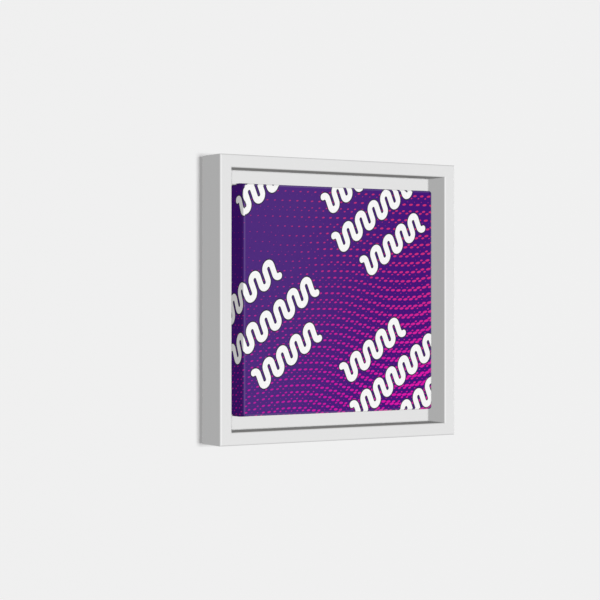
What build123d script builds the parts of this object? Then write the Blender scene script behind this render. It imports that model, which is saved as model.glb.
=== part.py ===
import os

from build123d import *

# A square stretched canvas in a floater frame, in millimetres.
#
# X runs to the right, Y runs from the front to the wall, and Z is up. The origin is on the wall, behind
# the middle of the frame: the wall bumpers' faces lie in the plane Y = 0.

# Frame: four mitred lengths of L-section moulding
FRAME_SIZE = 254.0  # outside width and height, 10 in
FRAME_DEPTH = 33.0
FACE_WIDTH = 11.6  # the tall leg, seen from the front
BASE_WIDTH = 37.6  # the whole section, seen from the back
LEDGE_THICKNESS = 6.8  # the short leg, behind the shadow gap
FRONT_RADIUS = 1.4
BACK_RADIUS = 0.6

# Stretcher: four bars with a tongue and a slot at each end
STRETCHER_SIZE = 203.2  # outside width and height, 8 in
BAR_WIDTH = 38.0
LIP_WIDTH = 5.0  # the only strip of the bar's front that touches the cloth
BEVEL_DROP = 3.0  # how far the bar's front falls away behind the cloth
CORNER_RADIUS = 2.0
LIP_RADIUS = 0.8
SLOT_OFFSETS = {"front": 5.2, "back": 13.2}  # from the bar's front to each slot
SLOT_THICKNESS = 4.2
TONGUE_THICKNESS = 4.0
TONGUE_REACH = 4.4  # what the tongue stops short of the outer edge
WEB_WIDTH = 4.3  # the wood left outside the blind slot

# Corner keys: one straight edge and one slanted one
KEY_THICKNESS = 3.8
KEY_TIP = 14.0  # from the bar's outer edge to the key's tip
KEY_LENGTH = 32.0
KEY_TIP_WIDTH = 3.0
KEY_BUTT_WIDTH = 12.0
KEY_CLEARANCE = 0.05
KEY_CORNER = 1.5

# Cloth
CLOTH = 0.5
CANVAS_RECESS = 2.6  # from the frame's front to the cloth's
TURNOVER = 27.6  # how far the cloth covers the backs of the bars

# Staples
STAPLE_CROWN = 10.0
STAPLE_LEG = 5.0
STAPLE_WIRE = 0.6
STAPLE_SPACING = 29.0
STAPLES_A_BAR = 6
STAPLE_INSET = 21.6  # from the bar's outer edge

# Screws: countersunk ones for the canvas, pan-head ones for the hangers
SCREW_HEAD_RADIUS = 3.5
SCREW_SHANK_RADIUS = 1.75
SCREW_LENGTH = 22.0
SCREW_HEAD_DEPTH = 1.9
SCREW_POINT = 4.0
SCREW_CLEARANCE = 0.25
SCREW_ALONG = 58.0  # from the middle of each rail
SCREW_INSET = 31.6  # from the frame's outer edge
HANGER_SCREW_RADIUS = 1.5
HANGER_SCREW_LENGTH = 14.0
PAN_RADIUS = 3.2
PAN_HEIGHT = 1.5
PAN_ROUNDING = 0.75
RECESS_LENGTH = 3.4
RECESS_WIDTH = 0.8
RECESS_DEPTH = 1.0

# V-nails across the backs of the mitres
NAIL_LEG = 6.0
NAIL_THICKNESS = 0.5
NAIL_SINK = 0.2
NAILS = ((3.5, 10.0), (24.0, 5.0))  # inset of the point from the corner, and height

# Hangers: a folded strap with a D-ring in its knuckle
HANGER_HEIGHT = 42.0  # above the middle, a third of the way down from the top
STRAP_WIDTH = 9.0
STRAP_SHEET = 0.8
STRAP_ARM = 11.5  # from the ring's pivot to the screw
RING_WIRE_RADIUS = 1.0
RING_CLEARANCE = 0.1
RING_STRAIGHT = 10.0
RING_CORNER = 2.5

# Wall bumpers
BUMPER_RADIUS = 5.0
BUMPER_HEIGHT = 4.5
BUMPER_ROUNDING = 1.2
BUMPER_ACROSS = 100.0  # from the middle, along the top and bottom rails
BUMPER_INSET = 10.0  # from the frame's outer edge

MARGIN = 1.0  # how far a cutter runs on past the wood that it cuts

# Planes and half sizes that follow from the dimensions above
FRAME_HALF = FRAME_SIZE / 2
FRAME_BACK = -BUMPER_HEIGHT
FRAME_FRONT = FRAME_BACK - FRAME_DEPTH
LEDGE_FRONT = FRAME_BACK - LEDGE_THICKNESS
CLOTH_FRONT = FRAME_FRONT + CANVAS_RECESS
CLOTH_BACK = LEDGE_FRONT
BAR_FRONT = CLOTH_FRONT + CLOTH
BAR_BACK = CLOTH_BACK - CLOTH
BAR_HALF = STRETCHER_SIZE / 2
KEY_SLOPE = (KEY_BUTT_WIDTH - KEY_TIP_WIDTH) / KEY_LENGTH
RING_PIVOT_X = FRAME_HALF - FACE_WIDTH / 2 - STRAP_ARM
KNUCKLE_RADIUS = RING_WIRE_RADIUS + RING_CLEARANCE + STRAP_SHEET
RING_PIVOT_Y = FRAME_BACK + KNUCKLE_RADIUS

QUARTER_TURNS = {"top": 0, "right": 90, "bottom": 180, "left": 270}


def slab(outline, back, front):
    """An outline drawn in X and Z, made solid from Y = back forward to Y = front."""
    return extrude(Plane.XZ.offset(-back) * outline, amount=back - front, dir=(0, -1, 0))


def turned(shape, side):
    """A shape modelled at the top of the frame, turned to another side."""
    return Rot(0, QUARTER_TURNS[side], 0) * shape


def on_every_side(shape):
    """One copy of a shape modelled at the top, for each of the four sides."""
    return [turned(shape, side) for side in QUARTER_TURNS]


def mitre_wedge(half):
    """The quarter of a square frame that its top member fills."""
    return Polygon((-half, half), (half, half), (0, 0), align=None)


def backwards(shape, x, z):
    """A turned shape drawn along Z, set at (x, z) on the frame's back with its foot towards the wall."""
    return Pos(x, FRAME_BACK, z) * Rot(-90, 0, 0) * shape


def cross_recess(top):
    """The cutter for a cross-head screw's recess, from a height of top downwards."""
    arm = Box(RECESS_LENGTH, RECESS_WIDTH, RECESS_DEPTH, align=(Align.CENTER, Align.CENTER, Align.MAX))
    return Pos(0, 0, top) * (arm + Rot(0, 0, 90) * arm)


def countersunk_screw():
    """A pointed wood screw with its flat head's face at Z = 0 and its point at -SCREW_LENGTH."""
    outline = Polyline(
        (0, 0),
        (SCREW_HEAD_RADIUS, 0),
        (SCREW_SHANK_RADIUS, -SCREW_HEAD_DEPTH),
        (SCREW_SHANK_RADIUS, SCREW_POINT - SCREW_LENGTH),
        (0, -SCREW_LENGTH),
        (0, 0),
    )
    return revolve(Plane.XZ * make_face(outline), Axis.Z) - cross_recess(0)


def pan_head_screw():
    """A pointed screw with a domed head that stands on Z = 0."""
    inside_head = PAN_HEIGHT / 2
    shank = Polyline(
        (0, inside_head),
        (HANGER_SCREW_RADIUS, inside_head),
        (HANGER_SCREW_RADIUS, SCREW_POINT - HANGER_SCREW_LENGTH),
        (0, -HANGER_SCREW_LENGTH),
        (0, inside_head),
    )
    head = Cylinder(PAN_RADIUS, PAN_HEIGHT, align=(Align.CENTER, Align.CENTER, Align.MIN))
    head = fillet(head.edges().sort_by(Axis.Z)[-1], PAN_ROUNDING)
    return head + revolve(Plane.XZ * make_face(shank), Axis.Z) - cross_recess(PAN_HEIGHT)


def canvas_screws():
    """Two screws a side, from the frame's back through the ledge into the stretcher."""
    across = FRAME_HALF - SCREW_INSET
    pair = [backwards(countersunk_screw(), x, across) for x in (-SCREW_ALONG, SCREW_ALONG)]
    return [screw for one in pair for screw in on_every_side(one)]


def screw_clearances():
    """The countersunk clearance holes that the canvas screws pass through in the ledge."""
    across = FRAME_HALF - SCREW_INSET
    depth = -LEDGE_THICKNESS - MARGIN
    outline = Polyline(
        (0, 0),
        (SCREW_HEAD_RADIUS + SCREW_CLEARANCE, 0),
        (SCREW_SHANK_RADIUS + SCREW_CLEARANCE, -SCREW_HEAD_DEPTH),
        (SCREW_SHANK_RADIUS + SCREW_CLEARANCE, depth),
        (0, depth),
        (0, 0),
    )
    hole = revolve(Plane.XZ * make_face(outline), Axis.Z)
    pair = [backwards(hole, x, across) for x in (-SCREW_ALONG, SCREW_ALONG)]
    return [cut for one in pair for cut in on_every_side(one)]


def hanger_screws():
    """The screw through each strap, into the middle of the rail's tall leg."""
    foot = FRAME_BACK + 2 * STRAP_SHEET
    screw = Rot(-90, 0, 0) * pan_head_screw()
    across = RING_PIVOT_X + STRAP_ARM
    return [Pos(x, foot, HANGER_HEIGHT) * screw for x in (-across, across)]


def v_nail(inset, height, sink):
    """A V-nail across the top right mitre, its two legs running along the two rails."""
    point = FRAME_HALF - inset
    leg = NAIL_LEG
    width = NAIL_THICKNESS
    outline = Polygon(
        (point, point),
        (point - leg, point),
        (point - leg, point - width),
        (point - width, point - width),
        (point - width, point - leg),
        (point, point - leg),
        align=None,
    )
    return slab(outline, FRAME_BACK - sink, FRAME_BACK - NAIL_SINK - height)


def corner_v_nails(sink=NAIL_SINK):
    """All the V-nails; with no sink, the slots that they are pressed down into."""
    return [nail for inset, height in NAILS for nail in on_every_side(v_nail(inset, height, sink))]


def frame_rail():
    """The top rail, an L-section with rounded edges, cut at 45 degrees at both ends."""
    section = Polygon(
        (FRAME_BACK, FRAME_HALF),
        (FRAME_FRONT, FRAME_HALF),
        (FRAME_FRONT, FRAME_HALF - FACE_WIDTH),
        (LEDGE_FRONT, FRAME_HALF - FACE_WIDTH),
        (LEDGE_FRONT, FRAME_HALF - BASE_WIDTH),
        (FRAME_BACK, FRAME_HALF - BASE_WIDTH),
        align=None,
    )
    section = fillet(section.vertices().group_by(Axis.X)[0], FRONT_RADIUS)
    section = fillet(section.vertices().group_by(Axis.X)[-1], BACK_RADIUS)
    moulding = extrude(Plane.YZ * section, amount=FRAME_HALF, both=True)
    return moulding & slab(mitre_wedge(FRAME_HALF), FRAME_BACK, FRAME_FRONT)


def stretcher_blank():
    """The block whose rounded outside the four bars share."""
    square = RectangleRounded(STRETCHER_SIZE, STRETCHER_SIZE, CORNER_RADIUS)
    block = slab(square, BAR_BACK, BAR_FRONT)
    return fillet(block.edges().group_by(Axis.Y)[0], LIP_RADIUS)


def layer(outline, offset, thickness):
    """An outline made solid in the middle of a slot that starts at an offset behind the bar's front."""
    front = BAR_FRONT + offset + (SLOT_THICKNESS - thickness) / 2
    return slab(outline, front + thickness, front)


def corner_rectangle(x, z, width, height):
    """A rectangle with its lower left corner at (x, z)."""
    return Pos(x, z) * Rectangle(width, height, align=Align.MIN)


def key_width(inset):
    """The gap beside a tongue, at an inset from the bar's outer edge, which the key's taper fills."""
    return KEY_TIP_WIDTH + KEY_SLOPE * (inset - KEY_TIP)


def key_slot_outline():
    """A slot in the top bar's right end: room for the side bar's tongue and for the key beside it."""
    start = BAR_HALF - WEB_WIDTH
    end = BAR_HALF - BAR_WIDTH
    return Polygon(
        (BAR_HALF + MARGIN, start),
        (end - key_width(WEB_WIDTH), start),
        (end - key_width(BAR_WIDTH + MARGIN), end - MARGIN),
        (BAR_HALF + MARGIN, end - MARGIN),
        align=None,
    )


def stretcher_bar(tongue, slot):
    """The top bar, with the slots of its tongues and of its neighbours' tongues named by their layer."""
    inner = BAR_HALF - BAR_WIDTH
    section = Polygon(
        (BAR_BACK, BAR_HALF),
        (BAR_FRONT, BAR_HALF),
        (BAR_FRONT, BAR_HALF - LIP_WIDTH),
        (BAR_FRONT + BEVEL_DROP, inner),
        (BAR_BACK, inner),
        align=None,
    )
    bar = extrude(Plane.YZ * section, amount=BAR_HALF, both=True)
    bar = bar & slab(mitre_wedge(BAR_HALF), BAR_BACK, BAR_FRONT)
    reach = corner_rectangle(inner, inner, BAR_WIDTH - TONGUE_REACH, BAR_WIDTH)
    past_reach = corner_rectangle(BAR_HALF - TONGUE_REACH, inner, TONGUE_REACH + MARGIN, BAR_WIDTH + MARGIN)
    web = corner_rectangle(BAR_HALF - WEB_WIDTH, BAR_HALF - WEB_WIDTH, WEB_WIDTH, WEB_WIDTH)
    added = layer(reach, SLOT_OFFSETS[tongue], TONGUE_THICKNESS)
    added += layer(web, SLOT_OFFSETS[slot], TONGUE_THICKNESS)
    cut = layer(past_reach, SLOT_OFFSETS[tongue], SLOT_THICKNESS)
    cut += layer(key_slot_outline(), SLOT_OFFSETS[slot], SLOT_THICKNESS)
    bar = bar + added + mirror(added, Plane.YZ)
    bar = bar - cut - mirror(cut, Plane.YZ)
    return bar & stretcher_blank()


def corner_key(slot):
    """The key in the right-hand slot of the top bar, its straight edge against the side bar's tongue."""
    tip = BAR_HALF - KEY_TIP
    butt = tip - KEY_LENGTH
    straight = BAR_HALF - BAR_WIDTH - KEY_CLEARANCE
    slant = BAR_HALF - BAR_WIDTH + KEY_CLEARANCE
    outline = Polygon(
        (straight, tip),
        (slant - KEY_TIP_WIDTH, tip),
        (slant - KEY_BUTT_WIDTH, butt),
        (straight, butt),
        align=None,
    )
    outline = fillet(outline.vertices().group_by(Axis.Y)[0], KEY_CORNER)
    return layer(outline, SLOT_OFFSETS[slot], KEY_THICKNESS)


def corner_keys():
    """The eight keys, named after the bar whose slot holds each one and the end that it is at."""
    keys = {}
    for side, slot, ends in (
        ("top", "back", ("right", "left")),
        ("bottom", "back", ("left", "right")),
        ("right", "front", ("bottom", "top")),
        ("left", "front", ("top", "bottom")),
    ):
        key = corner_key(slot)
        keys[f"key_{side}_bar_{ends[0]}"] = turned(key, side)
        keys[f"key_{side}_bar_{ends[1]}"] = turned(mirror(key, Plane.YZ), side)
    return keys


def staple(x):
    """A staple over the top bar, its crown on the back of the turned-over cloth."""
    z = BAR_HALF - STAPLE_INSET
    crown = Pos(x, z) * Rectangle(STAPLE_CROWN, STAPLE_WIRE)
    leg_x = (STAPLE_CROWN - STAPLE_WIRE) / 2
    legs = [Pos(x + offset, z) * Rectangle(STAPLE_WIRE, STAPLE_WIRE) for offset in (-leg_x, leg_x)]
    shape = slab(crown, CLOTH_BACK + STAPLE_WIRE, CLOTH_BACK)
    for leg in legs:
        shape += slab(leg, CLOTH_BACK, CLOTH_BACK - STAPLE_LEG)
    return shape


def canvas_staples():
    """A row of staples along each bar."""
    first = -STAPLE_SPACING * (STAPLES_A_BAR - 1) / 2
    row = [staple(first + STAPLE_SPACING * i) for i in range(STAPLES_A_BAR)]
    return [one for each in row for one in on_every_side(each)]


def canvas():
    """The cloth: its front, its four sides and the strip turned over on to the backs of the bars."""
    size = STRETCHER_SIZE + 2 * CLOTH
    block = slab(RectangleRounded(size, size, CORNER_RADIUS + CLOTH), CLOTH_BACK, CLOTH_FRONT)
    block = fillet(block.edges().group_by(Axis.Y)[0], LIP_RADIUS + CLOTH)
    opening = STRETCHER_SIZE - 2 * TURNOVER
    return block - stretcher_blank() - slab(Rectangle(opening, opening), CLOTH_BACK, BAR_BACK)


def hanger_strap():
    """The right-hand strap: two layers of sheet on the rail and a knuckle round the ring's pivot."""
    foot_end = STRAP_ARM + STRAP_WIDTH / 2
    foot_start = KNUCKLE_RADIUS * 2
    top = 2 * STRAP_SHEET - KNUCKLE_RADIUS
    neck = Polygon(
        (0, -KNUCKLE_RADIUS),
        (foot_end, -KNUCKLE_RADIUS),
        (foot_end, top),
        (foot_start, top),
        (0, KNUCKLE_RADIUS),
        align=None,
    )
    section = Circle(KNUCKLE_RADIUS) + neck - Circle(RING_WIRE_RADIUS + RING_CLEARANCE)
    strap = extrude(section, amount=STRAP_WIDTH / 2, both=True)
    strap = Pos(RING_PIVOT_X, RING_PIVOT_Y, HANGER_HEIGHT) * strap
    rounded = Pos(RING_PIVOT_X + STRAP_ARM, HANGER_HEIGHT) * Circle(STRAP_WIDTH / 2)
    rounded += Pos(RING_PIVOT_X, HANGER_HEIGHT) * Rectangle(2 * STRAP_ARM, STRAP_WIDTH)
    return strap & slab(rounded, 0, FRAME_BACK)


def hanger_ring():
    """The right-hand D-ring, lying flat against the back with its bow towards the middle."""
    half = RING_STRAIGHT / 2
    top = half + RING_CORNER
    path = Line((0, -half), (0, half))
    path += RadiusArc((0, half), (-RING_CORNER, top), -RING_CORNER)
    path += RadiusArc((-RING_CORNER, top), (-RING_CORNER, -top), -top)
    path += RadiusArc((-RING_CORNER, -top), (0, -half), -RING_CORNER)
    path = Plane.XZ * path
    ring = sweep(Plane.XY * Circle(RING_WIRE_RADIUS), path=Wire(path.edges()))
    return Pos(RING_PIVOT_X, RING_PIVOT_Y, HANGER_HEIGHT) * ring


def bumper(x, z):
    """A round rubber bumper with a softened rim, stuck to the frame's back."""
    pad = Cylinder(BUMPER_RADIUS, BUMPER_HEIGHT, align=(Align.CENTER, Align.CENTER, Align.MIN))
    pad = fillet(pad.edges().sort_by(Axis.Z)[-1], BUMPER_ROUNDING)
    return backwards(pad, x, z)


def without(shape, cutters):
    """A shape with every cutter that reaches it taken out."""
    for cutter in cutters:
        shape = shape - cutter
    return shape


def build_parts():
    """Every piece of the object, by its name."""
    staples = canvas_staples()
    screws = canvas_screws()
    strap_screws = hanger_screws()
    rail_cuts = corner_v_nails(sink=0) + screw_clearances() + strap_screws
    parts = {
        "corner_v_nails": Compound(corner_v_nails()),
        "canvas_screws": Compound(screws),
        "canvas_staples": Compound(staples),
        "hanger_screws": Compound(strap_screws),
        "canvas": without(canvas(), staples + screws),
    }
    rail = frame_rail()
    bars = {
        "top": stretcher_bar("front", "back"),
        "bottom": stretcher_bar("front", "back"),
        "right": stretcher_bar("back", "front"),
        "left": stretcher_bar("back", "front"),
    }
    for side, bar in bars.items():
        parts[f"frame_rail_{side}"] = without(turned(rail, side), rail_cuts)
        parts[f"stretcher_bar_{side}"] = without(turned(bar, side), staples + screws)
    parts.update(corner_keys())
    strap = without(hanger_strap(), strap_screws)
    ring = hanger_ring()
    parts["hanger_strap_right"] = strap
    parts["hanger_ring_right"] = ring
    parts["hanger_strap_left"] = mirror(strap, Plane.YZ)
    parts["hanger_ring_left"] = mirror(ring, Plane.YZ)
    for level, z in (("top", FRAME_HALF - BUMPER_INSET), ("bottom", BUMPER_INSET - FRAME_HALF)):
        for side, x in (("right", BUMPER_ACROSS), ("left", -BUMPER_ACROSS)):
            parts[f"bumper_{level}_{side}"] = bumper(x, z)
    return parts


os.makedirs("parts", exist_ok=True)
for name, shape in build_parts().items():
    export_step(shape, f"parts/{name}.step")
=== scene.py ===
import math

import bmesh
import bpy
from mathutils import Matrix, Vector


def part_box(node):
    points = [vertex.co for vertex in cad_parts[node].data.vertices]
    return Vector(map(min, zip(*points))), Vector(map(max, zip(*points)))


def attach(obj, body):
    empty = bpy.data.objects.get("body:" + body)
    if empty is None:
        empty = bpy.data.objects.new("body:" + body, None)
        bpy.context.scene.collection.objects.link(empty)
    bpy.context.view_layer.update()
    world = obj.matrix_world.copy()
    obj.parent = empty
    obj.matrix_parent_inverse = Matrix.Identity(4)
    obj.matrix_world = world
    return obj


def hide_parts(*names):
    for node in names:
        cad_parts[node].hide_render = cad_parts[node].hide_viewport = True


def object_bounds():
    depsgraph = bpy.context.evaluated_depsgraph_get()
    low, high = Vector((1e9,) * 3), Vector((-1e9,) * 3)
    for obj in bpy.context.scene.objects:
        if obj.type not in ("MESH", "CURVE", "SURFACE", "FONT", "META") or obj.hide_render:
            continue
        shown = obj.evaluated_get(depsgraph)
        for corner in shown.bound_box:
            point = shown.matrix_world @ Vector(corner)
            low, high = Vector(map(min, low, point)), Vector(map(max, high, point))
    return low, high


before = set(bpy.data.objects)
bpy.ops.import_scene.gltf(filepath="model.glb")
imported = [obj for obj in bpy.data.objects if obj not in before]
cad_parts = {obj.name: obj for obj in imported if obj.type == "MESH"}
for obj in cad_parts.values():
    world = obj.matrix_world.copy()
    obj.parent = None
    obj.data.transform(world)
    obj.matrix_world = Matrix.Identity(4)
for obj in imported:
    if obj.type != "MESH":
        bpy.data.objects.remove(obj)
cad_low, cad_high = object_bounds()
MM = 0.001
FRAME_BODY = "frame"
FLAT_MAP = "flat_cloth"  # the UV map that holds the flat cloth's own coordinates, in metres

# The printed cloth
CLOTH = 0.36 * MM  # its thickness
EDGE_RADIUS = 1.3 * MM  # outside, where the front turns into the sides
CORNER_RADIUS = 2.5 * MM  # outside, between two sides
BACK_RADIUS = 0.9 * MM
TURNOVER = 27.6 * MM
LAYER = 0.38 * MM  # from one layer of a folded corner to the next
WALL_POINTS = 42  # along half a side
TURN_POINTS = 6  # round a corner
FOLD_POINTS = 8  # along a fold of a corner
CREASE_POINTS = 4  # round the end of a fold
EDGE_ROWS = 8  # round the front's edge
DEPTH_ROWS = 14  # from the front's edge to the back's
BACK_ROWS = 6  # round the back's edge
TURNOVER_ROWS = 16
PRINT_BLEED = 17.0 * MM  # how far the print runs on past the back edge

# The print
ROW_PITCH = 2.84 * MM
DOT_PITCH = 6.9 * MM  # along a row, halfway up
DOT_SHAPE = 1.95  # how much longer than tall a dot is
DOT_TILT = 0.35  # how far a dot rises to the right, as a share of its own length
DOT_BLUR = 0.22 * MM
FAINT_PLACE = (-0.7, 0.35)  # where the dots are smallest, across and up the front from -1 to 1
BAND_PITCH = 7.4 * MM  # from one wavy band of large dots to the next
RIBBON_WIDTH = 5.5 * MM
RIBBON_PITCH = 8.6 * MM  # from one leg of a squiggle to the next
RIBBON_LEG = 3.7 * MM  # half of a leg's straight part
RIBBON_SPACING = 35 * MM
RIBBON_SLOPE = 35.5  # degrees
RIBBON_LEAN = 0.245  # how far the legs lean to the right, as a share of their height
RIBBON_LINES = ((0, -2 * MM, 9), (1, -15 * MM, 13), (2, -4 * MM, 9))  # level, start and half waves
GROUP_START = (24 * MM, 28 * MM)
GROUP_STEPS = ((115 * MM, 101 * MM), (-20 * MM, 153 * MM))  # to the next groups, right and up
OUTLINE = 0.95 * MM
INK_BLUR = 0.1 * MM
WEAVE_PITCH = 0.7 * MM

# Wood
RING_PITCH = 4.2 * MM  # from one dark line of the grain to the next
LOG_STEP = 0.37  # how far apart in the log two pieces' grain is taken, in metres
SEAM_WIDTH = 0.6 * MM

# The camera and the wall behind the object
CAMERA_LEFT = 3.4253  # from the frame's middle, in frame widths
CAMERA_DISTANCE = 5.1617  # in front of the frame, in frame widths
CAMERA_TURN = 32.163  # degrees, to the right
CAMERA_FIELD = 19.59  # degrees
WALL_SIZE = 3.2  # metres

# Colours, linear
# The print's ground: the lighter purple holds a painted sheen, the darker one is the ground where no sheen
# is painted
PURPLE_WITH_PAINTED_SHEEN = (0.080, 0.0245, 0.213)
PURPLE_WITHOUT_SHEEN = (0.060, 0.0062, 0.196)
CORAL = (0.78, 0.040, 0.17)
MAGENTA = (0.84, 0.007, 0.42)
WHITE_INK = (0.99, 0.99, 0.985)
CHARCOAL = (0.035, 0.025, 0.055)
INK_SHADE = (0.02, 0.01, 0.05)
PRIMED_WHITE = (0.74, 0.73, 0.70)
RAW_COTTON = (0.70, 0.62, 0.48)
COTTON_SHADE = (0.48, 0.41, 0.30)
PAINT = (0.80, 0.80, 0.80)
WALL = (0.89, 0.89, 0.89)
FRAME_WOOD = (0.70, 0.54, 0.36)
FRAME_WOOD_RINGS = (0.50, 0.34, 0.19)
PINE = (0.76, 0.57, 0.35)
PINE_RINGS = (0.54, 0.33, 0.15)
WOOD_SEAM = (0.13, 0.08, 0.045)
KEY_WOOD = (0.80, 0.66, 0.46)
KEY_WOOD_RINGS = (0.62, 0.46, 0.29)
DARK_RUBBER = (0.42, 0.43, 0.43)
PALE_RUBBER = (0.55, 0.56, 0.56)
NICKEL = (0.74, 0.72, 0.68)
ZINC = (0.66, 0.67, 0.69)


# ---------------------------------------------------------------- shader sums


class Sum:
    """A number in a material's node tree. Sums of it are written as ordinary arithmetic."""

    def __init__(self, tree, socket):
        self.tree = tree
        self.socket = socket

    def __add__(self, other):
        return calculate("ADD", self, other)

    def __sub__(self, other):
        return calculate("SUBTRACT", self, other)

    def __mul__(self, other):
        return calculate("MULTIPLY", self, other)

    def __truediv__(self, other):
        return calculate("DIVIDE", self, other)

    def __rsub__(self, other):
        return calculate("SUBTRACT", other, self)

    __radd__ = __add__
    __rmul__ = __mul__


def calculate(operation, *values):
    """A math node of some sums and plain numbers."""
    tree = next(v.tree for v in values if isinstance(v, Sum))
    node = tree.nodes.new("ShaderNodeMath")
    node.operation = operation
    for socket, value in zip(node.inputs, values):
        if isinstance(value, Sum):
            tree.links.new(value.socket, socket)
        else:
            socket.default_value = value
    return Sum(tree, node.outputs[0])


def step(value, low, high):
    """0 below low and 1 above high, smooth between. With low above high, the other way round."""
    node = value.tree.nodes.new("ShaderNodeMapRange")
    node.interpolation_type = "SMOOTHSTEP"
    node.inputs["From Min"].default_value = min(low, high)
    node.inputs["From Max"].default_value = max(low, high)
    node.inputs["To Min"].default_value = float(low > high)
    node.inputs["To Max"].default_value = float(low <= high)
    value.tree.links.new(value.socket, node.inputs["Value"])
    return Sum(value.tree, node.outputs["Result"])


def sine(value):
    """The sine of a sum in radians."""
    return calculate("SINE", value)


def length(x, y):
    """The length of a flat vector."""
    return calculate("SQRT", x * x + y * y)


def mix(tree, share, first, second):
    """A colour between two colours, each a tuple or a socket."""
    node = tree.nodes.new("ShaderNodeMix")
    node.data_type = "RGBA"
    tree.links.new(share.socket, node.inputs["Factor"])
    for name, colour in (("A", first), ("B", second)):
        socket = next(i for i in node.inputs if i.name == name and i.type == "RGBA")
        if isinstance(colour, tuple):
            socket.default_value = (*colour, 1)
        else:
            tree.links.new(colour, socket)
    return next(o for o in node.outputs if o.type == "RGBA")


def new_material(name, roughness, metallic=0.0, specular=0.5):
    """A material with one Principled shader, and its node tree."""
    material = bpy.data.materials.new(name)
    material.use_nodes = True
    shader = material.node_tree.nodes["Principled BSDF"]
    shader.inputs["Roughness"].default_value = roughness
    shader.inputs["Metallic"].default_value = metallic
    shader.inputs["Specular IOR Level"].default_value = specular
    return material, material.node_tree, shader


def position(tree, flat):
    """The coordinates of a point, or of its place on the flat cloth, as a socket."""
    if not flat:
        return tree.nodes.new("ShaderNodeTexCoord").outputs["Object"]
    node = tree.nodes.new("ShaderNodeUVMap")
    node.uv_map = FLAT_MAP
    return node.outputs["UV"]


def axes(tree, flat=False):
    """The three coordinates of a point, or of its place on the flat cloth, as sums."""
    split = tree.nodes.new("ShaderNodeSeparateXYZ")
    tree.links.new(position(tree, flat), split.inputs[0])
    return [Sum(tree, output) for output in split.outputs]


def noise(tree, scale, detail=3.0, stretch=(1, 1, 1), flat=False, shift=0.0):
    """Noise over the surface, stretched along an axis where stretch is small."""
    mapping = tree.nodes.new("ShaderNodeMapping")
    mapping.inputs["Location"].default_value = (shift, shift, shift)
    mapping.inputs["Scale"].default_value = stretch
    texture = tree.nodes.new("ShaderNodeTexNoise")
    texture.inputs["Scale"].default_value = scale
    texture.inputs["Detail"].default_value = detail
    tree.links.new(position(tree, flat), mapping.inputs["Vector"])
    tree.links.new(mapping.outputs[0], texture.inputs["Vector"])
    return Sum(tree, texture.outputs["Fac"])


def bump(tree, shader, height, distance, strength=1.0):
    """Gives a shader the small relief of a height."""
    node = tree.nodes.new("ShaderNodeBump")
    node.inputs["Strength"].default_value = strength
    node.inputs["Distance"].default_value = distance
    tree.links.new(height.socket, node.inputs["Height"])
    tree.links.new(node.outputs[0], shader.inputs["Normal"])


# ------------------------------------------------------------------ the print


def bands(u, v, up):
    """1 on the middle of each wavy band, -1 between bands. The waves die away towards the top."""
    crest = (up * 40 - 15) * MM
    half_wave = (82 - up * 42) * MM
    height = calculate("MAXIMUM", (6.6 - up * 8.4) * MM, 0.0)
    level = v - calculate("COSINE", (u - crest) / half_wave * math.pi) * height
    return calculate("COSINE", level * (2 * math.pi / BAND_PITCH))


def dot_layer(u, v):
    """How strongly the dots are inked, from 0 outside them, and the height up the front from -1 to 1.

    The dots stand in rows, every second row shifted by half a step. They grow and get stronger towards
    the lower right, grow on the wavy bands, and shrink round a place on the upper left.
    """
    low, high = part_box("canvas")
    half = (high.x - low.x) / 2
    across = u / half
    up = v / half
    row = v / ROW_PITCH + 0.35
    row_number = calculate("FLOOR", row)
    row_up = row_number * (ROW_PITCH / half)
    pitch = DOT_PITCH * (1 + (step(row_up, -0.4, 1.1) - 0.5) * 0.3)  # wider towards the top
    shift = calculate("FRACT", row_number * 0.5)
    beside = (calculate("FRACT", u / pitch + shift) - 0.5) * pitch
    above = (calculate("FRACT", row) - 0.5) * (ROW_PITCH * DOT_SHAPE) - beside * DOT_TILT
    from_faint_u = across - FAINT_PLACE[0]
    from_faint_v = up - FAINT_PLACE[1]
    faint = step(from_faint_u * from_faint_u + from_faint_v * from_faint_v * 1.6, 0.5, 0.0) * 0.35
    middle = across * 0.5 - up * 0.42 + 0.98 - faint  # a dot's reach between a band and a gap, in mm
    swell = across * 0.3 + 0.98  # how much a band adds to that, and a gap takes away
    reach = (middle + swell * bands(u, v, up)) * MM
    strength = across * 0.16 - up * 0.07 + 0.71
    return step(length(beside, above) - reach, DOT_BLUR, -DOT_BLUR) * strength, up


def squiggle(along, across, half_waves):
    """How far a point is from the middle line of a squiggle, which is legs joined by half circles."""
    radius = RIBBON_PITCH / 2
    turns = along / RIBBON_PITCH
    cell = calculate("FLOOR", turns)
    side = 1 - calculate("MODULO", cell, 2.0) * 2.0
    beside = calculate("ABSOLUTE", turns - cell - 0.5) * RIBBON_PITCH
    other_arc = calculate("LESS_THAN", across * side, 0.0)
    beside = beside + (RIBBON_PITCH - beside * 2.0) * other_arc
    beyond = calculate("MAXIMUM", calculate("ABSOLUTE", across) - RIBBON_LEG, 0.0)
    distance = calculate("ABSOLUTE", length(beside, beyond) - radius)
    before = calculate("MAXIMUM", 0.5 - turns, turns - (half_waves + 0.5))
    distance = distance + calculate("MAXIMUM", before, 0.0)
    top = RIBBON_LEG + radius
    first_end = length(along - radius, across - top)
    last_top = top if half_waves % 2 == 0 else -top
    last_end = length(along - radius - half_waves * RIBBON_PITCH, across - last_top)
    return calculate("MINIMUM", distance, calculate("MINIMUM", first_end, last_end))


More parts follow.
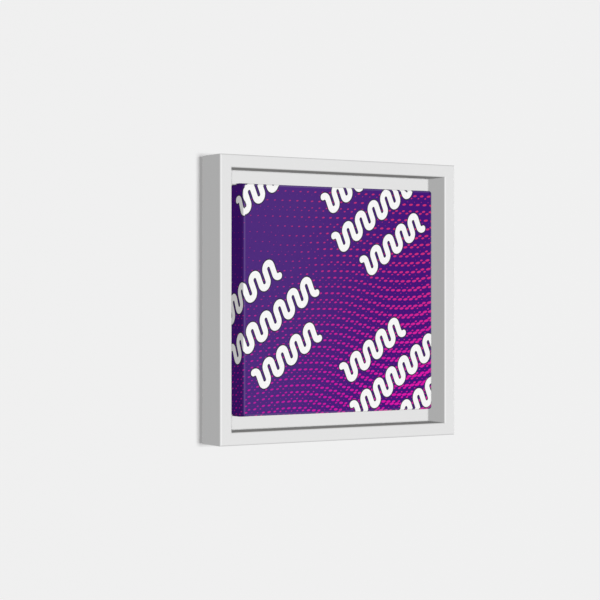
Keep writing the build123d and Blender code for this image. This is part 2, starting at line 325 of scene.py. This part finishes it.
def one_group(u, v):
    """Moves a point to the same place beside the first group, as the groups lie on a slanted lattice."""
    first, second = GROUP_STEPS
    x = u - GROUP_START[0]
    y = v - GROUP_START[1]
    area = first[0] * second[1] - second[0] * first[1]
    steps = x * (second[1] / area) - y * (second[0] / area)
    rows = y * (first[0] / area) - x * (first[1] / area)
    whole_rows = calculate("FLOOR", rows + 0.25)  # so that no squiggle crosses into the next group
    whole_steps = calculate("FLOOR", steps + (rows - whole_rows) * 0.5 + 0.2)
    x = x - whole_steps * first[0] - whole_rows * second[0]
    y = y - whole_steps * first[1] - whole_rows * second[1]
    return x, y


def ribbon_groups(u, v):
    """The distance to the nearest white squiggle's middle line. They lie in slanted groups of three."""
    x, y = one_group(u, v)
    slope = math.radians(RIBBON_SLOPE)
    along = x * math.cos(slope) + y * math.sin(slope)
    across = y * math.cos(slope) - x * math.sin(slope)
    lines = []
    for level, start, half_waves in RIBBON_LINES:
        height = across - level * RIBBON_SPACING
        lines.append(squiggle(along - start - height * RIBBON_LEAN, height, half_waves))
    return calculate("MINIMUM", calculate("MINIMUM", lines[0], lines[1]), lines[2])


def weave(u, v):
    """The height of a plain weave, from 0 to 1."""
    turn = 2 * math.pi / WEAVE_PITCH
    return sine(u * turn) * sine(v * turn) * 0.5 + 0.5


def printed_cloth():
    """The outside of the cloth: the print on its front and sides, and bare primer past the bleed."""
    material, tree, shader = new_material("printed_canvas", roughness=0.72, specular=0.05)
    low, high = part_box("canvas")
    half = (high.x - low.x) / 2
    u, v, _ = axes(tree, flat=True)
    # Painted sheen: the ground is lighter on the front's left and darker towards the right and on the
    # wrapped sides
    side = step(calculate("ABSOLUTE", u), half - 2.1 * MM, half + 3.9 * MM)
    no_painted_sheen = calculate("MAXIMUM", step(u - v * 0.25, -85 * MM, 75 * MM), side)
    ground_and_sheen = mix(tree, no_painted_sheen, PURPLE_WITH_PAINTED_SHEEN, PURPLE_WITHOUT_SHEEN)
    dots, up = dot_layer(u, v)
    ink = mix(tree, step(up, -0.9, 0.9), MAGENTA, CORAL)
    colour = mix(tree, dots, ground_and_sheen, ink)
    distance = ribbon_groups(u, v)
    edge = RIBBON_WIDTH / 2
    outlined = step(distance, edge + OUTLINE + INK_BLUR, edge + OUTLINE - INK_BLUR)
    white = step(distance, edge + INK_BLUR, edge - INK_BLUR)
    colour = mix(tree, outlined, colour, CHARCOAL)
    colour = mix(tree, white, colour, WHITE_INK)
    reach = half + (high.y - low.y) + PRINT_BLEED
    furthest = calculate("MAXIMUM", calculate("ABSOLUTE", u), calculate("ABSOLUTE", v))
    colour = mix(tree, step(furthest, reach - INK_BLUR, reach + INK_BLUR), colour, PRIMED_WHITE)
    fold = half - CLOTH / 2 - EDGE_RADIUS + 0.4 * MM
    fold_wear_and_highlight = step(calculate("ABSOLUTE", furthest - fold), 0.9 * MM, 0.1 * MM)  # worn ink and a painted highlight along the folds
    colour = mix(tree, fold_wear_and_highlight * 0.05, colour, WHITE_INK)
    relief = noise(tree, 900.0, flat=True) * 0.35 + weave(u, v) * 0.65
    colour = mix(tree, relief * 0.06, colour, INK_SHADE)
    tree.links.new(colour, shader.inputs["Base Color"])
    tree.links.new((relief * 0.12 + 0.64).socket, shader.inputs["Roughness"])
    bump(tree, shader, relief, 0.12 * MM, 0.9)
    return material


def raw_cloth():
    """The inside of the cloth: unbleached cotton in a plain weave."""
    material, tree, shader = new_material("raw_cotton", roughness=0.9, specular=0.2)
    u, v, _ = axes(tree, flat=True)
    slubs = noise(tree, 160.0, stretch=(1, 9, 1), flat=True)
    tone = weave(u, v) * 0.5 + slubs * 0.5
    colour = mix(tree, tone, COTTON_SHADE, RAW_COTTON)
    tree.links.new(colour, shader.inputs["Base Color"])
    bump(tree, shader, tone, 0.12 * MM, 0.8)
    return material


# ------------------------------------------------------------ other materials


def grain(tree, along, piece):
    """Wood grain that runs along one axis, X or Z: narrow dark rings and fine fibres, as two sums.

    Every piece number gives the same grain another place in the log.
    """
    slow = (0.12, 1, 1) if along == "X" else (1, 1, 0.12)
    fine = (0.03, 1, 1) if along == "X" else (1, 1, 0.03)
    x, y, z = axes(tree)
    across = (z if along == "X" else x) + y * 0.7
    shift = piece * LOG_STEP
    waver = noise(tree, 17.0, detail=2.0, stretch=slow, shift=shift) * 42 * MM
    fibres = noise(tree, 1800.0, detail=4.0, stretch=fine, shift=shift)
    rings = sine((across + waver) * (2 * math.pi / RING_PITCH) + fibres * 1.2)
    strength = noise(tree, 40.0, detail=1.0, stretch=slow, shift=shift)
    return step(rings, -0.1, 1.1) * strength * 1.5, fibres


def mitre_line(tree):
    """1 on the thin dark lines where two pieces meet at the corners' mitres, 0 away from them."""
    x, _, z = axes(tree)
    beside = calculate("ABSOLUTE", calculate("ABSOLUTE", x) - calculate("ABSOLUTE", z))
    return step(beside, SEAM_WIDTH / 2, SEAM_WIDTH / 6) * 0.8


def bare_wood(name, along, piece, pale, dark, mitred=False):
    """Planed softwood with its grain along X or Z."""
    material, tree, shader = new_material(name, roughness=0.62, specular=0.3)
    rings, fibres = grain(tree, along, piece)
    tone = rings * 0.55 + fibres * 0.45
    colour = mix(tree, tone, pale, dark)
    if mitred:
        colour = mix(tree, mitre_line(tree), colour, WOOD_SEAM)
    tree.links.new(colour, shader.inputs["Base Color"])
    tree.links.new((fibres * 0.2 + 0.5).socket, shader.inputs["Roughness"])
    bump(tree, shader, tone, 0.10 * MM, 0.5)
    return material


def painted_wood(name, along, piece):
    """Satin white paint over wood whose grain just shows, and bare wood on the back."""
    material, tree, shader = new_material(name, roughness=0.42, specular=0.3)
    rings, fibres = grain(tree, along, piece)
    _, depth, _ = axes(tree)
    mottle = noise(tree, 35.0, detail=2.0)
    paint = mix(tree, mottle * 0.5 + fibres * 0.5, PAINT, tuple(c * 0.975 for c in PAINT))
    bare = mix(tree, rings * 0.5 + fibres * 0.5, FRAME_WOOD, FRAME_WOOD_RINGS)
    bare = mix(tree, mitre_line(tree), bare, WOOD_SEAM)
    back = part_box("frame_rail_top")[1].y
    edge = depth + mottle * 0.8 * MM
    unpainted = step(edge, back - 0.1 * MM, back + 0.2 * MM)  # as the painter left the back's edge
    tree.links.new(mix(tree, unpainted, paint, bare), shader.inputs["Base Color"])
    tree.links.new((unpainted * 0.25 + mottle * 0.1 + 0.36).socket, shader.inputs["Roughness"])
    bump(tree, shader, fibres * 0.6 + mottle * 0.4, 0.05 * MM, 0.35)
    return material


def steel(name, tint, roughness):
    """Plated steel with faint scratches and a mottled coat."""
    material, tree, shader = new_material(name, roughness=roughness, metallic=1.0)
    scratches = noise(tree, 2200.0, detail=4.0, stretch=(0.08, 1, 1))
    cloud = noise(tree, 240.0, detail=3.0)
    dull = tuple(c * 0.72 for c in tint)
    tree.links.new(mix(tree, cloud, dull, tint), shader.inputs["Base Color"])
    tree.links.new((scratches * 0.25 + roughness - 0.1).socket, shader.inputs["Roughness"])
    bump(tree, shader, scratches, 0.02 * MM, 0.4)
    return material


def soft_rubber():
    """Cloudy grey rubber with a fine moulded texture."""
    material, tree, shader = new_material("bumper_rubber", roughness=0.55, specular=0.4)
    cloud = noise(tree, 300.0)
    tree.links.new(mix(tree, cloud, DARK_RUBBER, PALE_RUBBER), shader.inputs["Base Color"])
    tree.links.new((cloud * 0.2 + 0.42).socket, shader.inputs["Roughness"])
    bump(tree, shader, noise(tree, 2500.0), 0.03 * MM, 0.4)
    return material


def finishes():
    """The finished material of every CAD node that still shows, by the start of the node's name.

    The last one, for any other name, is the plated steel of the fixings.
    """
    materials = {
        "bumper": soft_rubber(),
        "hanger_ring": steel("ring_steel", NICKEL, 0.24),
    }
    runs = {"top": "X", "right": "Z", "bottom": "X", "left": "Z"}
    for piece, (side, along) in enumerate(runs.items()):
        across = "Z" if along == "X" else "X"
        materials[f"frame_rail_{side}"] = painted_wood(f"white_paint_{side}", along, piece)
        pine = bare_wood(f"pine_{side}", along, piece + 4, PINE, PINE_RINGS, mitred=True)
        materials[f"stretcher_bar_{side}"] = pine
        materials[f"key_{side}"] = bare_wood(f"key_wood_{side}", across, piece, KEY_WOOD, KEY_WOOD_RINGS)
    materials[""] = steel("zinc_steel", ZINC, 0.34)
    return materials


def paint_cad_nodes():
    """Gives every CAD node that still shows its finished material."""
    materials = finishes()
    for name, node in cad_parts.items():
        start = next(start for start in materials if name.startswith(start))
        node.material_slots[0].material = materials[start]
        node.visible_diffuse = False
        node.visible_glossy = not name.startswith("frame_rail")


# ------------------------------------------------------------------ the cloth


def smooth(value, low, high):
    """0 below low and 1 above high, smooth between."""
    share = min(max((value - low) / (high - low), 0.0), 1.0)
    return share * share * (3 - 2 * share)


def arc(centre, radius, start, end, count):
    """Points along an arc, in degrees, without its first point."""
    points = []
    for i in range(1, count + 1):
        angle = math.radians(start + (end - start) * i / count)
        points.append((centre[0] + radius * math.cos(angle), centre[1] + radius * math.sin(angle)))
    return points


def line(start, end, count):
    """Points along a line, without its first point."""
    return [
        (start[0] + (end[0] - start[0]) * i / count, start[1] + (end[1] - start[1]) * i / count)
        for i in range(1, count + 1)
    ]


class Wrap:
    """The sizes of the cloth's middle surface round the stretcher, worked out from its CAD box."""

    def __init__(self):
        low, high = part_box("canvas")
        self.half = (high.x - low.x) / 2 - CLOTH / 2
        self.front = low.y + CLOTH / 2
        self.back = high.y - CLOTH / 2
        self.edge = EDGE_RADIUS - CLOTH / 2
        self.corner = CORNER_RADIUS - CLOTH / 2
        self.flat = self.half - self.edge  # half the flat part of the front

    def loops(self):
        """The inset, depth and cloth length of each loop, from the front's edge to the back's."""
        rows = []
        for i in range(1, EDGE_ROWS + 1):
            angle = math.radians(90 * i / EDGE_ROWS)
            inset = self.edge * (1 - math.sin(angle))
            depth = self.edge * (1 - math.cos(angle))
            rows.append((inset, depth, self.flat + self.edge * angle))
        wall = self.back - self.front - self.edge - BACK_RADIUS
        for i in range(1, DEPTH_ROWS + 1):
            down = wall * i / DEPTH_ROWS
            rows.append((0.0, self.edge + down, self.flat + self.edge * math.pi / 2 + down))
        return rows

    def pleat(self, inset, depth):
        """One loop's path from the middle of the right side to the middle of the top.

        It runs up the right side and round the corner, folds back at the crease under the top's
        cloth, folds again at the corner, and runs along the top.
        """
        side = self.half - inset
        radius = max(self.corner - inset, 0.1 * MM)
        centre = side - radius
        grow = smooth(depth, 0.8 * MM, 11 * MM)  # the layers part further from each other towards the back
        gap = LAYER * grow
        folded = max(depth - 1.6 * MM, 0.0)
        crease = centre - folded
        fold = centre + 0.7 * MM * grow
        first = line((side, 0.0), (side, centre), WALL_POINTS)
        turn = arc((centre, centre), radius, 0, 90, TURN_POINTS)
        under = line((centre, side), (crease, side), FOLD_POINTS)
        inner = arc((crease, side + gap / 2), gap / 2, 270, 90, CREASE_POINTS)
        between = line((crease, side + gap), (fold, side + gap), FOLD_POINTS)
        outer = arc((fold, side + 1.5 * gap), gap / 2, -90, 90, CREASE_POINTS)
        top = []
        for x, z in line((fold, side), (0.0, side), WALL_POINTS):
            lift = 2 * gap * smooth(centre - x, folded + 9 * MM, folded + 1 * MM)
            top.append((x, z + lift))
        return [(side, 0.0)] + first + turn + under + inner + between + outer + top

    def pleat_lengths(self, reach):
        """The cloth's own flat coordinates along one loop's path, where reach is the loop's."""
        flat = self.flat
        right = [(reach, 0.0)] + line((reach, 0.0), (reach, flat), WALL_POINTS)
        under = line((reach, flat), (reach, reach), TURN_POINTS + FOLD_POINTS)
        inner = [(reach, reach)] * CREASE_POINTS
        between = line((reach, reach), (flat, reach), FOLD_POINTS)
        outer = [(flat, reach)] * CREASE_POINTS
        top = line((flat, reach), (0.0, reach), WALL_POINTS)
        return right + under + inner + between + outer + top


def add_patch(mesh, uv_layer, rows, flats, sign_x, sign_z):
    """Adds a grid of faces through rows of points, mirrored by the two signs."""
    made = []
    for row in rows:
        made.append([mesh.verts.new((sign_x * x, y, sign_z * z)) for x, y, z in row])
    for i in range(len(rows) - 1):
        for j in range(len(rows[0]) - 1):
            ring = [(i, j), (i, j + 1), (i + 1, j + 1), (i + 1, j)]
            if sign_x * sign_z < 0:
                ring.reverse()
            face = mesh.faces.new([made[a][b] for a, b in ring])
            face.smooth = True
            for loop, (a, b) in zip(face.loops, ring):
                u, v = flats[a][b]
                loop[uv_layer].uv = (sign_x * u, sign_z * v)


def front_rows(wrap):
    """The flat front, a quarter of it: rows along Z of points along X."""
    steps = [wrap.flat * i / WALL_POINTS for i in range(WALL_POINTS + 1)]
    rows = [[(x, wrap.front, z) for z in steps] for x in steps]
    flats = [[(x, z) for z in steps] for x in steps]
    return rows, flats


def wall_rows(wrap):
    """The sides with their folded corners, a quarter of them."""
    flat = wrap.flat
    start = [(flat, 0.0)] + line((flat, 0.0), (flat, flat), WALL_POINTS)
    start += [(flat, flat)] * (TURN_POINTS + 2 * FOLD_POINTS + 2 * CREASE_POINTS)
    start += line((flat, flat), (0.0, flat), WALL_POINTS)
    rows = [[(x, wrap.front, z) for x, z in start]]
    flats = [start]
    for inset, depth, reach in wrap.loops():
        rows.append([(x, wrap.front + depth, z) for x, z in wrap.pleat(inset, depth)])
        flats.append(wrap.pleat_lengths(reach))
    return rows, flats


def turnover_rows(wrap, edge_row, edge_flat, folded):
    """A strip turned over on to the back, from the last points of a side.

    The folded strip's ends are cut back along the mitre, as a hemmed corner lies.
    """
    rows = [[(x, wrap.back - BACK_RADIUS, z) for x, z in edge_row]]
    flats = [list(edge_flat)]
    for i in range(1, BACK_ROWS + 1):
        angle = math.radians(90 * i / BACK_ROWS)
        inset = BACK_RADIUS * (1 - math.cos(angle))
        along = BACK_RADIUS * math.sin(angle)
        rows.append(turned_row(wrap, edge_row, inset, wrap.back - BACK_RADIUS + along, folded))
        flats.append(flat_row(edge_flat, BACK_RADIUS * angle, folded))
    for i in range(1, TURNOVER_ROWS + 1):
        run = (TURNOVER - BACK_RADIUS) * i / TURNOVER_ROWS
        rows.append(turned_row(wrap, edge_row, BACK_RADIUS + run, wrap.back, folded))
        flats.append(flat_row(edge_flat, BACK_RADIUS * math.pi / 2 + run, folded))
    return rows, flats


def flat_row(edge_flat, further, folded):
    """The flat coordinates of a turned-over row, further along the cloth than the side's edge."""
    if folded:
        return [(u, v + further) for u, v in edge_flat]
    return [(u + further, v) for u, v in edge_flat]


def turned_row(wrap, edge_row, inset, y, folded):
    """One row of a turned-over strip, an inset in from the stretcher's outer edge."""
    if not folded:
        return [(x - inset, y, z) for x, z in edge_row]
    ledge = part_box("frame_rail_top")[0].z
    limit = wrap.half - inset
    clear = smooth(ledge - limit, -1.0 * MM, 3.0 * MM)  # past the ledge, which presses the layers flat
    thickening = 0.15 + 0.85 * clear if inset > BACK_RADIUS / 2 else 0.0
    row = []
    for x, z in edge_row:
        layer = z - wrap.half
        down = inset + layer * smooth(inset, 0.0, BACK_RADIUS)
        row.append((x * limit / wrap.half, y + layer * thickening, z - down))
    return row


def cloth_mesh(wrap):
    """The cloth's middle surface as one mesh, with the flat cloth's coordinates as its UV map."""
    mesh = bmesh.new()
    uv_layer = mesh.loops.layers.uv.new(FLAT_MAP)
    front, front_flat = front_rows(wrap)
    walls, walls_flat = wall_rows(wrap)
    last = [(x, z) for x, _, z in walls[-1]]
    right = slice(0, WALL_POINTS + 1)
    top = slice(len(last) - WALL_POINTS - 1, len(last))
    side_strip = turnover_rows(wrap, last[right], walls_flat[-1][right], folded=False)
    top_strip = turnover_rows(wrap, last[top], walls_flat[-1][top], folded=True)
    for sign_x in (1, -1):
        for sign_z in (1, -1):
            add_patch(mesh, uv_layer, front, front_flat, sign_x, sign_z)
            for rows, flats in ((walls, walls_flat), side_strip, top_strip):
                add_patch(mesh, uv_layer, rows, flats, sign_x, sign_z)
    bmesh.ops.remove_doubles(mesh, verts=mesh.verts, dist=0.004 * MM)
    bmesh.ops.dissolve_degenerate(mesh, edges=mesh.edges, dist=0.002 * MM)
    bmesh.ops.recalc_face_normals(mesh, faces=mesh.faces)
    data = bpy.data.meshes.new("printed_canvas_sheet")
    mesh.to_mesh(data)
    mesh.free()
    return data


def canvas_cloth():
    """The whole cloth as one sheet, cut square with its corners trimmed, and wrapped round the bars."""
    wrap = Wrap()
    data = cloth_mesh(wrap)
    cloth = bpy.data.objects.new("printed_canvas_sheet", data)
    bpy.context.scene.collection.objects.link(cloth)
    data.materials.append(printed_cloth())
    data.materials.append(raw_cloth())
    solid = cloth.modifiers.new("thickness", "SOLIDIFY")
    solid.thickness = CLOTH
    solid.offset = 0.0
    solid.material_offset = 1
    cloth.visible_diffuse = False
    cloth.visible_glossy = False
    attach(cloth, FRAME_BODY)
    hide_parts("canvas")
    depth = wrap.back - wrap.front
    side = 2 * (wrap.half + depth + TURNOVER)
    trimmed = (depth + TURNOVER) ** 2 - depth**2  # at each corner, all but the square in its pleat
    side**2 - 4 * trimmed


# ------------------------------------------------------ stage, light, camera


def build_wall():
    """A pale matt wall that isn't part of the object, and is clear from behind."""
    half = WALL_SIZE / 2
    corners = [(-half, 0, -half), (half, 0, -half), (half, 0, half), (-half, 0, half)]
    data = bpy.data.meshes.new("stage_wall")
    data.from_pydata(corners, [], [(0, 1, 2, 3)])
    wall = bpy.data.objects.new("stage_wall", data)
    bpy.context.scene.collection.objects.link(wall)
    material, tree, shader = new_material("stage_wall", roughness=0.9, specular=0.0)
    shader.inputs["Base Color"].default_value = (*WALL, 1)
    clear = tree.nodes.new("ShaderNodeBsdfTransparent")
    choose = tree.nodes.new("ShaderNodeMixShader")
    side = tree.nodes.new("ShaderNodeNewGeometry")
    tree.links.new(side.outputs["Backfacing"], choose.inputs[0])
    tree.links.new(shader.outputs[0], choose.inputs[1])
    tree.links.new(clear.outputs[0], choose.inputs[2])
    tree.links.new(choose.outputs[0], tree.nodes["Material Output"].inputs["Surface"])
    data.materials.append(material)
    wall.visible_diffuse = False
    wall.visible_glossy = False
    wall.visible_shadow = False
    return wall


def sun(name, azimuth, elevation, strength, softness):
    """Parallel light from a direction in degrees: azimuth 0 is in front, and minus is from the left."""
    data = bpy.data.lights.new(name, "SUN")
    data.energy = strength
    data.angle = math.radians(softness)
    data.cycles.use_multiple_importance_sampling = False
    light = bpy.data.objects.new(name, data)
    light.rotation_euler = (math.radians(90 - elevation), 0, math.radians(azimuth))
    bpy.context.scene.collection.objects.link(light)
    return light


def wall_light(distance, left, right, rise, power):
    """A soft light in front that draws the frame's shadow on the wall, its edges given as angles."""
    left, right, rise = (distance * math.tan(math.radians(angle)) for angle in (left, right, rise))
    data = bpy.data.lights.new("wall_light", "AREA")
    data.shape = "RECTANGLE"
    data.size = right - left
    data.size_y = 2 * rise
    data.energy = power
    light = bpy.data.objects.new("wall_light", data)
    light.location = ((left + right) / 2, -distance, 0)
    light.rotation_euler = (math.radians(90), 0, 0)
    bpy.context.scene.collection.objects.link(light)
    return light


def light_only(lights, name, surface, state):
    """Makes some lights shine on one surface only, or on all but that surface."""
    receivers = bpy.data.collections.new(name)
    receivers.objects.link(surface)
    receivers.collection_objects[0].light_linking.link_state = state
    for light in lights:
        light.light_linking.receiver_collection = receivers


def build_sky(light, seen):
    """An even sky: how much it lights, and how bright it looks behind the object."""
    world = bpy.data.worlds.new("sky")
    bpy.context.scene.world = world
    world.use_nodes = True
    tree = world.node_tree
    dim = tree.nodes["Background"]
    bright = tree.nodes.new("ShaderNodeBackground")
    for node, strength in ((dim, light), (bright, seen)):
        node.inputs["Color"].default_value = (1, 1, 1, 1)
        node.inputs["Strength"].default_value = strength
    path = tree.nodes.new("ShaderNodeLightPath")
    choose = tree.nodes.new("ShaderNodeMixShader")
    tree.links.new(path.outputs["Is Camera Ray"], choose.inputs[0])
    tree.links.new(dim.outputs[0], choose.inputs[1])
    tree.links.new(bright.outputs[0], choose.inputs[2])
    tree.links.new(choose.outputs[0], tree.nodes["World Output"].inputs["Surface"])


def build_light(wall):
    """Light from the left, the front, the right and behind; lights for the wall alone; and the sky."""
    key = sun("key", azimuth=-29.5, elevation=0, strength=2.061, softness=5)
    fill = sun("fill", azimuth=2, elevation=0, strength=0.637, softness=5)
    right = sun("right_light", azimuth=88, elevation=0, strength=0.8, softness=10)
    back = sun("back_light", azimuth=168, elevation=22, strength=2.3, softness=20)
    light_only([key, fill, right, back], "all_but_wall", wall, "EXCLUDE")
    wall_front = wall_light(distance=8.0, left=-3.0, right=5.6, rise=5.0, power=380)
    wall_key = sun("wall_key", azimuth=-34, elevation=0, strength=0.68, softness=6)
    light_only([wall_front, wall_key], "wall_only", wall, "INCLUDE")
    build_sky(light=0.206, seen=0.87)


def build_camera():
    """The camera, level with the middle of the frame and to its left."""
    data = bpy.data.cameras.new("camera")
    data.sensor_width = 36
    data.angle = math.radians(CAMERA_FIELD)
    camera = bpy.data.objects.new("camera", data)
    size = cad_high.x - cad_low.x
    camera.location = (-CAMERA_LEFT * size, cad_low.y - CAMERA_DISTANCE * size, 0)
    camera.rotation_euler = (math.radians(90), 0, math.radians(-CAMERA_TURN))
    bpy.context.scene.collection.objects.link(camera)
    bpy.context.scene.camera = camera


canvas_cloth()
paint_cad_nodes()
build_light(build_wall())
build_camera()
bpy.context.scene.view_settings.view_transform = "Standard"
